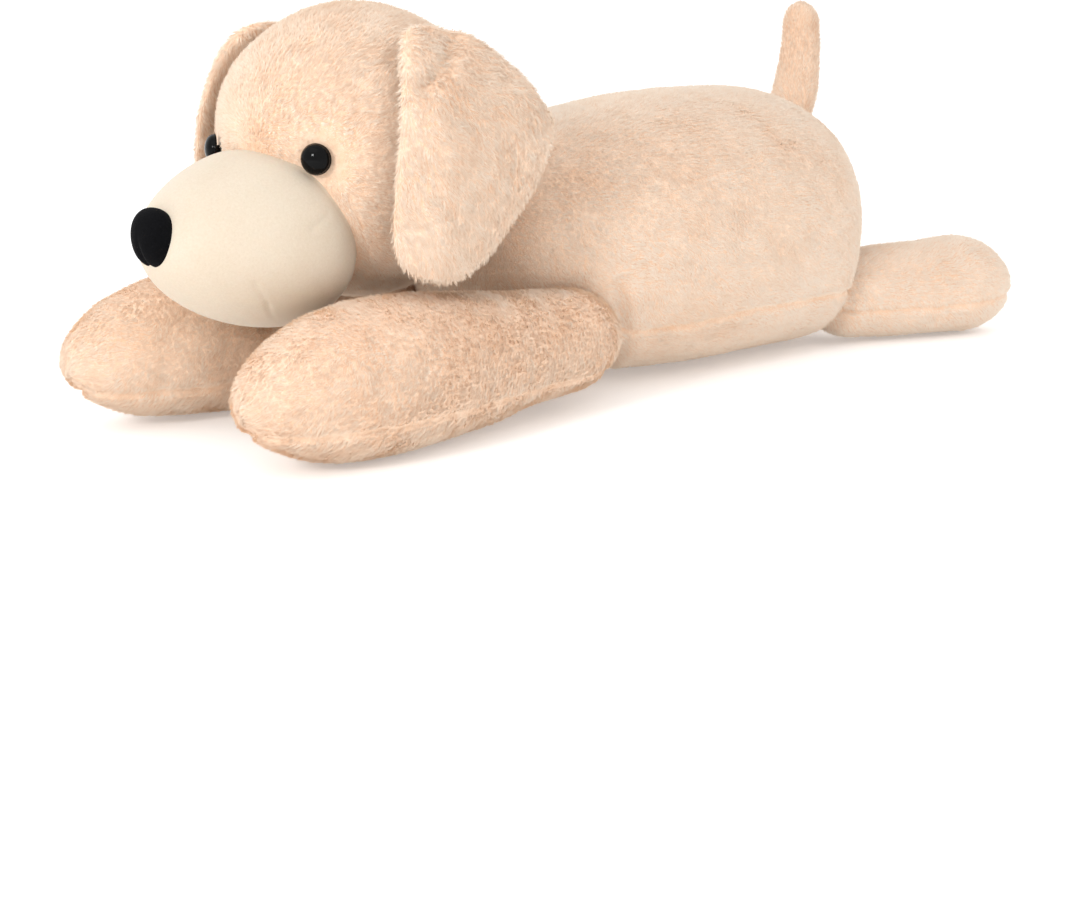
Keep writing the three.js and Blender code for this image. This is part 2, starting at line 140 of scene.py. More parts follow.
def normalsOf(points, faces):
    tri = trianglesOf(faces)
    a, b, c = (points[tri[:, n]] for n in range(3))
    face = np.cross(b - a, c - a)
    total = np.zeros_like(points)
    for n in range(3):
        np.add.at(total, tri[:, n], face)
    return unit(total)


def addPiece(name, points, faces, material):
    mesh = bpy.data.meshes.new(name)
    mesh.from_pydata(points.tolist(), [], faces)
    mesh.shade_smooth()
    mesh.materials.append(material)
    obj = bpy.data.objects.new(name, mesh)
    bpy.context.scene.collection.objects.link(obj)
    return obj


def treeOf(points, faces):
    return BVHTree.FromPolygons([Vector(p) for p in points], faces)


def signedDistance(points, tree, reach=0.2):
    # negative inside the closed surface of the tree, and reach where nothing is near
    out = np.full(len(points), reach)
    for i, p in enumerate(points):
        spot, normal, index, distance = tree.find_nearest(p, reach)
        if spot is not None:
            inside = (Vector(p) - spot).dot(normal) < 0
            out[i] = -distance if inside else distance
    return out


def near(points, other, margin):
    return np.all((points > other.min(0) - margin) & (points < other.max(0) + margin), axis=1)


# Shader groups and materials.

def newGroup(name, inputs, outputs):
    tree = bpy.data.node_groups.new(name, "ShaderNodeTree")
    for label, kind, value in inputs:
        socket = tree.interface.new_socket(label, in_out="INPUT", socket_type=kind)
        socket.default_value = value
    for label, kind in outputs:
        tree.interface.new_socket(label, in_out="OUTPUT", socket_type=kind)
    return tree, tree.nodes.new("NodeGroupInput"), tree.nodes.new("NodeGroupOutput")


def mathNode(tree, operation, first, second=None):
    node = tree.nodes.new("ShaderNodeMath")
    node.operation = operation
    for socket, value in zip(node.inputs, (first, second)):
        if value is None:
            continue
        if isinstance(value, (int, float)):
            socket.default_value = value
        else:
            tree.links.new(value, socket)
    return node.outputs[0]


def noiseNode(tree, vector, scale, detail=2.0, roughness=0.5, distortion=0.0):
    node = tree.nodes.new("ShaderNodeTexNoise")
    node.inputs["Scale"].default_value = scale
    node.inputs["Detail"].default_value = detail
    node.inputs["Roughness"].default_value = roughness
    node.inputs["Distortion"].default_value = distortion
    tree.links.new(vector, node.inputs["Vector"])
    return node.outputs["Fac"]


def mixTwo(tree, first, firstShare, second, secondShare):
    return mathNode(tree, "ADD", mathNode(tree, "MULTIPLY", first, firstShare),
                    mathNode(tree, "MULTIPLY", second, secondShare))


def makeNapGroup():
    # brushed cloth: wide patches where the pile lies another way, clumps, and single fibres
    tree, given, out = newGroup(
        "brushedNap",
        [("Clump Size", "NodeSocketFloat", 1.0), ("Patch Size", "NodeSocketFloat", 1.0)],
        [("Shade", "NodeSocketFloat"), ("Height", "NodeSocketFloat")],
    )
    where = tree.nodes.new("ShaderNodeTexCoord")
    clumpScale = tree.nodes.new("ShaderNodeVectorMath")
    clumpScale.operation = "SCALE"
    patchScale = tree.nodes.new("ShaderNodeVectorMath")
    patchScale.operation = "SCALE"
    for node, label in ((clumpScale, "Clump Size"), (patchScale, "Patch Size")):
        tree.links.new(where.outputs["Object"], node.inputs[0])
        tree.links.new(mathNode(tree, "DIVIDE", 1.0, given.outputs[label]), node.inputs["Scale"])
    patches = noiseNode(tree, patchScale.outputs[0], 22, 3, 0.55)
    clumps = noiseNode(tree, clumpScale.outputs[0], 210, 3, 0.6, 0.6)
    fibres = noiseNode(tree, clumpScale.outputs[0], 1300, 2, 0.6)
    shade = mixTwo(tree, patches, 0.55, clumps, 0.45)
    height = mixTwo(tree, clumps, 0.75, fibres, 0.25)
    tree.links.new(shade, out.inputs["Shade"])
    tree.links.new(height, out.inputs["Height"])
    return tree


napGroup = makeNapGroup()


def newMaterial(name, settings):
    material = bpy.data.materials.new(name)
    material.use_nodes = True
    shader = material.node_tree.nodes["Principled BSDF"]
    for label, value in settings.items():
        shader.inputs[label].default_value = value
    return material, material.node_tree, shader


def makeNapMaterial(name, low, high, clump, patch, bump, settings, contrast=(0.35, 0.65)):
    material, tree, shader = newMaterial(name, settings)
    nap = tree.nodes.new("ShaderNodeGroup")
    nap.node_tree = napGroup
    nap.inputs["Clump Size"].default_value = clump
    nap.inputs["Patch Size"].default_value = patch
    ramp = tree.nodes.new("ShaderNodeValToRGB")
    ramp.color_ramp.elements[0].position = contrast[0]
    ramp.color_ramp.elements[1].position = contrast[1]
    ramp.color_ramp.elements[0].color = (*low, 1)
    ramp.color_ramp.elements[1].color = (*high, 1)
    tree.links.new(nap.outputs["Shade"], ramp.inputs["Fac"])
    tree.links.new(ramp.outputs["Color"], shader.inputs["Base Color"])
    bumpNode = tree.nodes.new("ShaderNodeBump")
    bumpNode.inputs["Strength"].default_value = bump[0]
    bumpNode.inputs["Distance"].default_value = bump[1]
    tree.links.new(nap.outputs["Height"], bumpNode.inputs["Height"])
    tree.links.new(bumpNode.outputs["Normal"], shader.inputs["Normal"])
    return material


plush = {
    "low": (0.74, 0.48, 0.31),
    "high": (0.87, 0.66, 0.50),
    "strands": [
        (0.925, 0.80, 0.675), (0.91, 0.765, 0.63), (0.895, 0.725, 0.575), (0.865, 0.66, 0.50), (0.82, 0.595, 0.43),
    ],
    "roughness": 0.9,
    "sheen": 0.06,
}
velboa = {"low": (0.585, 0.485, 0.37), "high": (0.655, 0.57, 0.46)}

backingCloth = makeNapMaterial(
    "plushBacking", plush["low"], plush["high"], 1.0, 1.0, (0.6, 1.5 * mm),
    {"Roughness": 0.95, "Sheen Weight": 0.2, "Sheen Roughness": 0.5},
)
muzzleCloth = makeNapMaterial(
    "creamVelboa", velboa["low"], velboa["high"], 0.35, 2.2, (0.25, 0.4 * mm),
    {"Roughness": 0.8, "Sheen Weight": 0.15, "Sheen Roughness": 0.4,
     "Subsurface Weight": 0.08, "Subsurface Scale": 0.01},
    (0.3, 0.6),
)
noseCloth = makeNapMaterial(
    "blackVelour", (0.001, 0.001, 0.0013), (0.004, 0.004, 0.005), 0.3, 0.6, (0.5, 0.5 * mm),
    {"Roughness": 0.9, "Sheen Weight": 0.015, "Sheen Roughness": 0.35, "Specular IOR Level": 0.08},
)
washerPlastic = makeNapMaterial(
    "whiteMouldedPlastic", (0.72, 0.72, 0.70), (0.80, 0.80, 0.78), 0.5, 0.5, (0.05, 0.1 * mm),
    {"Roughness": 0.45},
)


def makeEyePlastic(name, dark, light, roughness):
    # glossy moulded plastic, a little uneven where it has been handled
    material, tree, shader = newMaterial(name, {"IOR": 1.5, "Specular IOR Level": 0.11})
    where = tree.nodes.new("ShaderNodeTexCoord")
    smears = noiseNode(tree, where.outputs["Object"], 260, 3, 0.6)
    ramp = tree.nodes.new("ShaderNodeMapRange")
    ramp.inputs["To Min"].default_value = roughness[0]
    ramp.inputs["To Max"].default_value = roughness[1]
    tree.links.new(smears, ramp.inputs["Value"])
    tree.links.new(ramp.outputs["Result"], shader.inputs["Roughness"])
    tint = tree.nodes.new("ShaderNodeValToRGB")
    tint.color_ramp.elements[0].color = (*dark, 1)
    tint.color_ramp.elements[1].color = (*light, 1)
    tree.links.new(smears, tint.inputs["Fac"])
    tree.links.new(tint.outputs["Color"], shader.inputs["Base Color"])
    return material


eyePlastic = makeEyePlastic("eyeBlackPlastic", (0.001, 0.001, 0.001), (0.003, 0.003, 0.003), (0.03, 0.07))

strandMaterials = []
for n, colour in enumerate(plush["strands"]):
    material, tree, shader = newMaterial(f"pileStrand{n}", {
        "Base Color": (*colour, 1),
        "Roughness": plush["roughness"],
        "Sheen Weight": plush["sheen"],
        "Sheen Roughness": 0.45,
        "Sheen Tint": (1.0, 0.86, 0.74, 1),
        "Specular IOR Level": 0.05,
    })
    strandMaterials.append(material)
print("materials ready")


# Pile.

pile = {
    "inset": 2.4 * mm,  # how far the backing lies under the outside of the pile
    "length": 4.5 * mm,
    "width": 0.8 * mm,
    "flat": 0.5,  # thickness of a strand as a share of its width
    "density": 0.95,  # strands on a square millimetre
    "clump": 3.8 * mm,
    "rise": 0.42,  # share of its length that a strand stands up
    "gather": 0.4,  # how far the strands of a clump lean together
    "lean": 0.25,  # how much each clump leans its own way
    "stray": 0.1,  # how much each strand does
    "soft": 0.9,  # how smoothly the pile is lit
    "floor": 0.5 * mm,
    "tone": 1.3,  # which of the strand colours is commonest, 0 is the palest
}


def addPile(name, skin, weights, combing, settings, seed):
    s = {**pile, **settings}
    points, faces = skin
    rng = np.random.default_rng(seed)
    normals = normalsOf(points, faces)
    tri = trianglesOf(faces)
    a, b, c = (points[tri[:, n]] for n in range(3))
    area = np.linalg.norm(np.cross(b - a, c - a), axis=1) / 2
    share = area * weights[tri].mean(1)
    count = int(share.sum() * 1e6 * s["density"])
    pick = np.searchsorted(np.cumsum(share) / share.sum(), rng.random(count))
    pick = np.minimum(pick, len(tri) - 1)
    r1, r2 = np.sqrt(rng.random(count)), rng.random(count)
    bary = np.stack([1 - r1, r1 * (1 - r2), r1 * r2], -1)[:, :, None]
    root = (points[tri[pick]] * bary).sum(1)
    normal = unit((normals[tri[pick]] * bary).sum(1))
    short = (weights[tri[pick]] * bary[:, :, 0]).sum(1)

    # the way the pile is brushed, with swirls, and a lean that each clump shares
    comb = combing(root)
    comb = unit(comb - normal * np.einsum("ij,ij->i", comb, normal)[:, None])
    side = np.cross(normal, comb)
    swirl = wander(root, 38 * mm, seed) * 0.6 + wander(root, 14 * mm, seed + 1) * 0.6
    comb = comb * np.cos(swirl)[:, None] + side * np.sin(swirl)[:, None]
    drift = np.stack([wander(root, 9 * mm, seed + n) for n in (2, 3, 4)], -1)
    cell = np.floor(root / s["clump"] + 0.35 * drift)
    jitter = np.stack([lattice(cell, seed + n) for n in (5, 6, 7)], -1)
    centre = (cell + 0.2 + 0.6 * jitter) * s["clump"]
    toCentre = centre - root
    toCentre -= normal * np.einsum("ij,ij->i", toCentre, normal)[:, None]
    lean = np.stack([lattice(cell, seed + n) for n in (8, 9, 10)], -1) - 0.5
    lean -= normal * np.einsum("ij,ij->i", lean, normal)[:, None]
    own = rng.normal(size=(count, 3))
    length = s["length"] * (0.75 + 0.35 * lattice(cell, seed + 11) + 0.2 * rng.random(count))
    length = length * np.clip(short, 0.35, 1)
    rise = s["rise"] * (0.85 + 0.3 * lattice(cell, seed + 12))
    flat = np.sqrt(np.clip(1 - rise ** 2, 0, 1))
    axis = normal * rise[:, None] + comb * flat[:, None] + lean * s["lean"] + own * s["stray"]
    tip = root + axis * length[:, None] + toCentre * s["gather"]
    axis = unit(tip - root)
    across = unit(np.cross(axis, normal) + 1e-6)
    over = np.cross(across, axis)
    half = (s["width"] / 2 * (0.7 + 0.6 * rng.random(count)))[:, None]
    sunk = root - normal * 0.8 * mm
    strand, shading = [], []
    for corner in (0.5, 0.5 - 2 / 3, 0.5 - 4 / 3):  # the first corner faces out of the pile
        up, aside = over * math.sin(corner * math.pi), across * math.cos(corner * math.pi)
        strand.append(sunk + (up * s["flat"] + aside) * half)
        shading.append(unit(normal * s["soft"] + (up + aside) * 0.3))
    strand.append(tip)
    shading.append(unit(normal * s["soft"] + over * 0.2 + comb * 0.15))
    strand, shading = np.stack(strand, 1), np.stack(shading, 1)
    strand[..., 2] = np.maximum(strand[..., 2], s["floor"])

    mesh = bpy.data.meshes.new(name)
    mesh.vertices.add(count * 4)
    mesh.vertices.foreach_set("co", strand.reshape(-1).astype(np.float32))
    start = np.arange(count) * 4
    sides = np.array([0, 1, 3, 1, 2, 3, 2, 0, 3])  # three sides that meet at the tip
    loops = start[:, None] + sides
    mesh.loops.add(count * 9)
    mesh.loops.foreach_set("vertex_index", loops.reshape(-1).astype(np.int32))
    mesh.polygons.add(count * 3)
    mesh.polygons.foreach_set("loop_start", (np.arange(count * 3) * 3).astype(np.int32))
    for material in strandMaterials:
        mesh.materials.append(material)
    tone = s["tone"] + wander(root, 55 * mm, seed + 20) * 0.8 + wander(root, 6 * mm, seed + 21) * 0.7
    tone = tone + rng.normal(size=count) * 0.55
    tone = np.clip(np.round(tone), 0, len(strandMaterials) - 1).astype(np.int32)
    mesh.polygons.foreach_set("material_index", np.repeat(tone, 3))
    mesh.update(calc_edges=True)
    mesh.shade_smooth()
    loopNormals = shading[:, sides]
    loopNormals[:, 3:6] = -over[:, None]  # the side that faces the cloth
    mesh.normals_split_custom_set(loopNormals.reshape(-1, 3).astype(np.float32))
    obj = bpy.data.objects.new(name, mesh)
    bpy.context.scene.collection.objects.link(obj)
    print(name, count, "strands")
    return obj


# Shaping helpers.

def pushIn(points, faces, depth):
    return points - normalsOf(points, faces) * np.asarray(depth)[:, None]


def seamDepth(distance, along, depth, width, seed=0):
    # a sewn line: a groove drawn in by each stitch, with small puckers beside it
    groove = depth * np.exp(-(distance / width) ** 2)
    beat = 0.75 + 0.25 * wander(np.stack([along, along * 0, along * 0], -1), 7 * mm, seed)
    pucker = 0.35 * depth * np.exp(-np.abs(distance) / (3 * width)) * wander(
        np.stack([along, distance * 0.25, along * 0], -1), 9 * mm, seed + 1)
    return groove * beat + pucker


def alongLine(points, line):
    # distance from a line of points on the side x > 0 or its mirror, and how far along it
    p = points.copy()
    p[:, 0] = np.abs(p[:, 0])
    line = np.array(line) * mm
    best, at, walked = np.full(len(p), 9.0), np.zeros(len(p)), 0.0
    for a, b in zip(line[:-1], line[1:]):
        t = np.clip(((p - a) @ (b - a)) / ((b - a) @ (b - a)), 0, 1)
        distance = np.linalg.norm(p - a - t[:, None] * (b - a), axis=1)
        closer = distance < best
        best[closer] = distance[closer]
        at[closer] = walked + t[closer] * np.linalg.norm(b - a)
        walked += np.linalg.norm(b - a)
    return best, at


# Body.

body = {
    "halfWidth": 151 * mm,
    "halfHeight": 125 * mm,
    "centreHeight": 119 * mm,
    "widestY": 162 * mm,
    "frontLength": 315 * mm,
    "rearLength": 168 * mm,
    "frontFullness": 2.5,
    "rearFullness": 2.4,
    "rumpFullness": 3.0,
    "lowRump": 0.9,  # how much fuller it is where it sits on the floor
    "bellyFullness": 2.5,
    "armpitFold": [(120, -58, 96), (112, -46, 72), (88, -22, 36), (60, -10, 14)],
    "seamHeight": 56 * mm,
    "fine": (340, 190),
}


def bodyPlace(turn, way):
    front = way < np.pi / 2
    low = smoothStep(-np.sin(turn), 0.1, 0.8) * smoothStep(np.sin(way), 0.1, 0.6)
    power = np.where(front, 2 / body["frontFullness"], 2 / (body["rearFullness"] + body["lowRump"] * low))
    reach = np.where(front, -body["frontLength"], body["rearLength"])
    radius = np.sin(way) ** power
    y = reach * np.abs(np.cos(way)) ** power
    ux, uz = np.cos(turn), np.sin(turn)
    belly = 2 / (body["bellyFullness"] + 0.7 * smoothStep(y, 0, 0.12))
    below = uz < 0
    x = radius * np.where(below, np.sign(ux) * np.abs(ux) ** belly, ux)
    uz = np.where(below, -np.abs(uz) ** belly, uz)
    behind = np.clip(y / body["rearLength"], 0, 1)
    tall = (1 - behind ** body["rumpFullness"]) ** (1 / body["rumpFullness"])
    z = uz * np.where(y > 0, tall, radius)
    z = np.where(radius < 1e-6, 0, z)
    return np.stack([x * body["halfWidth"], y + body["widestY"],
                     z * body["halfHeight"] + body["centreHeight"]], -1)


def limbProfile(shape):
    # (distance along the limb, radius) of its outline, from the root's pole to the tip's
    a = np.linspace(-np.pi / 2, 0, 24)
    root = np.stack([np.sin(a) * shape["tuck"], np.cos(a) ** shape["point"] * shape["root"]], -1)
    straight = shape["length"] - shape["round"]
    t = np.linspace(0, 1, 30)[1:-1]
    swell = shape["root"] + (shape["paw"] - shape["root"]) * (0.35 * t + 0.65 * (t * t * (3 - 2 * t)))
    middle = np.stack([t * straight, swell], -1)
    b = np.linspace(0, np.pi / 2, 40)
    end = np.stack([straight + np.sin(b) * shape["round"], np.cos(b) * shape["paw"]], -1)
    outline = np.vstack([root, middle, end])
    step = np.r_[0, np.cumsum(np.linalg.norm(np.diff(outline, axis=0), axis=1))]
    return outline, step / step[-1]


def limbPlace(shape):
    outline, share = limbProfile(shape)

    def place(turn, way):
        t = way / np.pi
        along = np.interp(t, share, outline[:, 0])
        radius = np.maximum(np.interp(t, share, outline[:, 1]), 0)
        return np.stack([radius * np.cos(turn), along, radius * np.sin(turn)], -1)

    return place


foreleg = {
    "root": 44 * mm, "paw": 61.5 * mm, "round": 135 * mm, "length": 333 * mm,
    "tuck": 62 * mm, "point": 1.35, "heading": 180.8, "seamHeight": 33 * mm, "fine": (160, 130),
}
hindleg = {
    "root": 45 * mm, "paw": 50 * mm, "round": 68 * mm, "length": 184 * mm,
    "tuck": 45 * mm, "point": 1.0, "heading": -23.0, "seamHeight": 37 * mm, "fine": (140, 90),
}
tail = {
    "root": 25 * mm, "paw": 19 * mm, "round": 24 * mm, "length": 115 * mm,
    "tuck": 25 * mm, "point": 1.0, "sweep": 25 * mm, "bend": 2.5, "curl": 7 * mm, "fine": (48, 60),
}


def layLimb(shape, pivot, side):
    points, faces = closedGrid(*shape["fine"], limbPlace(shape))
    angle = math.radians(shape["heading"])
    x, y = points[:, 0].copy(), points[:, 1].copy()
    points[:, 0] = (x * math.cos(angle) - y * math.sin(angle)) + abs(pivot[0])
    points[:, 1] = x * math.sin(angle) + y * math.cos(angle) + pivot[1]
    points[:, 2] += pivot[2]
    if side < 0:
        points[:, 0] *= -1
        faces = [f[::-1] for f in faces]
    points = pushIn(points, faces, np.full(len(points), pile["inset"]))
    points[:, 2] = liftFrom(points[:, 2], 2 * mm, 6 * mm)
    return points, faces


def finishSkin(skin, name, bodyNames, nodes, blend=None, material=None):
    obj = addPiece(name, skin[0], skin[1], material or backingCloth)
    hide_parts(*nodes)
    follow(obj, bodyNames, blend)
    return obj


def follow(obj, bodyNames, blend):
    if blend:
        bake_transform(obj)
    else:
        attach(obj, bodyNames[0])


bodyPoints, bodyFaces = closedGrid(*body["fine"], bodyPlace)
bodyPoints = pushIn(bodyPoints, bodyFaces, np.full(len(bodyPoints), pile["inset"]))
bodyPoints[:, 2] = liftFrom(bodyPoints[:, 2], 2 * mm, 8 * mm)
wholeBody = treeOf(bodyPoints, bodyFaces)

limbs = {}
for side, word in ((1, "left"), (-1, "right")):
    limbs["foreleg_" + word] = layLimb(foreleg, jointAt[f"foreleg_{word}_swing"], side)
    limbs["hindleg_" + word] = layLimb(hindleg, jointAt[f"hindleg_{word}_swing"], side)


def layTail():
    points, faces = closedGrid(*tail["fine"], limbPlace(tail))
    along = points[:, 1].copy()
    points[:, 1] = -points[:, 2]
    points[:, 2] = along
    rise = np.clip(points[:, 2] / tail["length"], 0, 1)
    points[:, 1] += tail["sweep"] * (1 - (1 - rise) ** tail["bend"]) - tail["curl"] * rise ** 3
    points += jointAt["tail_wag"]
    return pushIn(points, faces, np.full(len(points), pile["inset"] * 0.8)), faces


limbs["tail"] = layTail()

# Head.

head = {"radius": 114 * mm, "eyeSink": 6.5 * mm, "eyeSpread": 30 * mm, "fine": (170, 110),
        "gussetLow": (40 * mm, 195 * mm), "gussetHigh": (79 * mm, 285 * mm)}
muzzle = {"halfWidth": 78 * mm, "halfDepth": 70 * mm, "length": 111 * mm, "rear": 65 * mm,
          "rootY": -338 * mm, "height": 155 * mm, "fullness": 1.8, "inset": 0.6 * mm, "fine": (220, 140),
          "darts": [[(75, -358, 168), (73, -340, 177)], [(57, -397, 131), (53, -385, 116), (35, -362, 93)]]}
headCentre = jointAt["neck_nod"]


def eyeDirection(side):
    low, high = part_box("eye_left" if side > 0 else "eye_right")
    return np.array((Vector(low) + Vector(high)) / 2) - headCentre


eyes = {side: unit(eyeDirection(side)) for side in (1, -1)}


def headPlace(turn, way):
    # the poles lie on the axis through the ears, so that the rings run from brow to nape
    x = np.cos(way)
    ring = np.sin(way)
    return np.stack([x, ring * np.cos(turn), ring * np.sin(turn)], -1) * head["radius"] + headCentre


def muzzlePlace(turn, way):
    front = way < np.pi / 2
    power = np.where(front, 2 / muzzle["fullness"], 1.0)
    reach = np.where(front, -muzzle["length"], muzzle["rear"])
    radius = np.sin(way) ** power
    y = reach * np.abs(np.cos(way)) ** power
    return np.stack([radius * np.cos(turn) * muzzle["halfWidth"], y + muzzle["rootY"],
                     radius * np.sin(turn) * muzzle["halfDepth"] + muzzle["height"]], -1)


headPoints, headFaces = closedGrid(*head["fine"], headPlace)
for side, direction in eyes.items():
    gap = np.linalg.norm(headPoints - headCentre - direction * head["radius"], axis=1)
    away = unit(headPoints - headCentre)
    headPoints = headPoints - away * (head["eyeSink"] * np.exp(-(gap / head["eyeSpread"]) ** 2))[:, None]
headPoints = pushIn(headPoints, headFaces, np.full(len(headPoints), pile["inset"]))
muzzlePoints, muzzleFaces = closedGrid(*muzzle["fine"], muzzlePlace)
muzzlePoints = pushIn(muzzlePoints, muzzleFaces, np.full(len(muzzlePoints), muzzle["inset"]))
wholeHead = treeOf(headPoints, headFaces)
wholeMuzzle = treeOf(muzzlePoints, muzzleFaces)

# the cloth dips towards the muzzle's seam from both sides
headToMuzzle = np.full(len(headPoints), 0.2)
pick = near(headPoints, muzzlePoints, 30 * mm)
headToMuzzle[pick] = signedDistance(headPoints[pick], wholeMuzzle, 0.1)
muzzleToHead = signedDistance(muzzlePoints, wholeHead, 0.1)
dip = 3.0 * mm * np.exp(-np.clip(headToMuzzle, 0, None) / (9 * mm))
slope = (head["gussetHigh"][0] - head["gussetLow"][0]) / (head["gussetHigh"][1] - head["gussetLow"][1])
gussetEdge = head["gussetLow"][0] + slope * (headPoints[:, 2] - head["gussetLow"][1])
toGusset = (np.abs(headPoints[:, 0]) - gussetEdge) / math.hypot(1, slope)
onTop = smoothStep(headPoints[:, 2], 0.195, 0.215)
dip = dip + seamDepth(toGusset, headPoints[:, 1] + headPoints[:, 2], 2.2 * mm, 3.5 * mm, 3) * onTop
headPoints = pushIn(headPoints, headFaces, dip)
muzzleDip = 2.5 * mm * np.exp(-np.clip(muzzleToHead, 0, None) / (8 * mm))
for dart in muzzle["darts"]:
    distance, at = alongLine(muzzlePoints, dart)
    muzzleDip += seamDepth(distance, at, 1.3 * mm, 1.6 * mm, 17)
muzzlePoints = pushIn(muzzlePoints, muzzleFaces, muzzleDip)
limbs["head"] = (headPoints, headFaces)
print("head shaped")

# The body gives way to what is sewn onto it.

def makeRoom(points, others, centreHeight, gap):
    # each point is drawn back along the way from the body's core until it clears the others
    moved = points.copy()
    hidden = np.zeros(len(points))
    for otherPoints, otherFaces in others:
        tree = treeOf(otherPoints, otherFaces)
        for i in np.flatnonzero(near(points, otherPoints, 4 * mm)):
            target = Vector(moved[i])
            core = Vector((0, min(max(target.y, -0.11), 0.27), centreHeight))
            way = target - core
            hit = tree.ray_cast(core, way.normalized(), way.length + gap)
            if hit[0] is not None:
                moved[i] = core + way.normalized() * max(hit[3] - gap, 0.01)
                hidden[i] = way.length - hit[3]
    return moved, hidden


def evenOut(points, moved, faces, rounds):
    # spreads a shift over the neighbouring points, so that it has no sharp edge
    shift = moved - points
    ends = np.array([(f[k], f[(k + 1) % len(f)]) for f in faces for k in range(len(f))])
    degree = np.maximum(np.bincount(ends[:, 0], minlength=len(points)), 1)[:, None]
    for _ in range(rounds):
        total = np.stack([np.bincount(ends[:, 0], shift[ends[:, 1], k], len(points)) for k in range(3)], -1)
        shift = 0.5 * shift + 0.5 * total / degree
    return points + shift


bodyRoomy, bodyHidden = makeRoom(bodyPoints, list(limbs.values()), body["centreHeight"], 1 * mm)
bodyRoomy = evenOut(bodyPoints, bodyRoomy, bodyFaces, 3)
bodyWeight = 1 - smoothStep(bodyHidden, 4 * mm, 12 * mm)
pinch = np.zeros(len(bodyPoints))
for name, (otherPoints, otherFaces) in limbs.items():
    wide = 14 * mm if name != "tail" else 7 * mm
    pick = near(bodyPoints, otherPoints, 40 * mm) & (bodyHidden <= 0)
    distance = signedDistance(bodyPoints[pick], treeOf(otherPoints, otherFaces), 0.06)
    pinch[pick] += 3 * mm * np.exp(-(np.clip(distance, 0, None) / wide) ** 1.3)
flank = bodyPoints[:, 2] - body["seamHeight"] - 3 * mm * wander(bodyPoints * [0, 1, 0], 90 * mm, 5)
pinch += seamDepth(flank, bodyPoints[:, 1], 3.6 * mm, 3.2 * mm, 7)
bodyWeight = bodyWeight * (1 - 0.6 * np.exp(-(flank / (2.6 * mm)) ** 2))
fold, _ = alongLine(bodyPoints, body["armpitFold"])
valley, _ = alongLine(bodyPoints + np.array([0, 12 * mm, 0]), body["armpitFold"])
pinch += 5 * mm * np.exp(-(valley / (9 * mm)) ** 2) - 2.5 * mm * np.exp(-(fold / (7 * mm)) ** 2)
pinch += 1.6 * mm * wander(bodyPoints, 70 * mm, 9) + 0.5 * mm * wander(bodyPoints, 24 * mm, 10)
pinch *= bodyHidden <= 0
bodySkin = (pushIn(bodyRoomy, bodyFaces, pinch), bodyFaces)
bodySkin[0][:, 2] = np.maximum(bodySkin[0][:, 2], 1.5 * mm)
finishSkin(bodySkin, "bodyCover", ["body"], ["body_back_cover", "body_belly_cover", "body_stuffing"])


def brushBack(p):
    return np.stack([p[:, 0] * 1.2, np.full(len(p), 0.12), np.full(len(p), -0.16)], -1)


bodyPile = addPile("bodyPile", bodySkin, bodyWeight, brushBack, {}, 11)
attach(bodyPile, "body")
print("body covered")

# Legs and tail.

def coverLimb(name, skin, nodes, joint, reach, combing, settings, seed, seamHeight=None):
    points, faces = skin
    inside = np.full(len(points), 0.2)
    pick = near(points, bodyPoints, 40 * mm)
    inside[pick] = signedDistance(points[pick], wholeBody, 0.15)
    weight = smoothStep(inside, -9 * mm, -3 * mm)
    dip = 2.6 * mm * np.exp(-(np.clip(inside, 0, None) / (11 * mm)) ** 1.3) * (inside < 0.1)
    if seamHeight:
        toSeam = points[:, 2] - seamHeight - 2.5 * mm * wander(points * [0, 1, 0], 60 * mm, seed)
        dip += seamDepth(toSeam, points[:, 1], 3 * mm, 3 * mm, seed)
        weight = weight * (1 - 0.6 * np.exp(-(toSeam / (2.4 * mm)) ** 2))
    dip += 1.1 * mm * wander(points, 45 * mm, seed + 1) + 0.5 * mm * wander(points, 18 * mm, seed + 2)
    points = pushIn(points, faces, dip)
    points[:, 2] = np.maximum(points[:, 2], 1.5 * mm)
    skin = (points, faces)
    pivot = jointAt[joint]
    ends = (pivot - np.array(reach) * 0.2, pivot + np.array(reach))
    bodyNames = ["body", name]
    obj = finishSkin(skin, name + "Cover", bodyNames, nodes, (tuple(ends[0]), tuple(ends[1])))
    strands = addPile(name + "Pile", skin, weight, combing, settings, seed)
    follow(strands, bodyNames, (tuple(ends[0]), tuple(ends[1])))
    return skin


for side, word in ((1, "left"), (-1, "right")):
    coverLimb(
        "foreleg_" + word, limbs["foreleg_" + word],
        [f"foreleg_top_{word}", f"foreleg_sole_{word}", f"foreleg_stuffing_{word}"],
        f"foreleg_{word}_swing", (0, -0.05, 0),
        lambda p: np.stack([np.zeros(len(p)), np.full(len(p), -1.0), np.full(len(p), -0.45)], -1),
        {"length": 5 * mm, "gather": 0.5, "lean": 0.35, "tone": 2.1},
        31 if side > 0 else 32, foreleg["seamHeight"],
    )
    coverLimb(
        "hindleg_" + word, limbs["hindleg_" + word],
        [f"hindleg_top_{word}", f"hindleg_sole_{word}", f"hindleg_stuffing_{word}"],
        f"hindleg_{word}_swing", (0, 0.05, 0),
        lambda p: np.stack([np.zeros(len(p)), np.full(len(p), 1.0), np.full(len(p), -0.45)], -1),
        {"tone": 0.5}, 41 if side > 0 else 42, hindleg["seamHeight"],
    )
coverLimb(
    "tail", limbs["tail"], ["tail_left_cover", "tail_right_cover", "tail_stuffing"],
    "tail_wag", (0, 0, 0.03),
    lambda p: np.stack([np.zeros(len(p)), np.full(len(p), 0.2), np.full(len(p), 1.0)], -1),
    {"tone": 2.4}, 51,
)
print("legs and tail covered")

# Head, muzzle, nose.

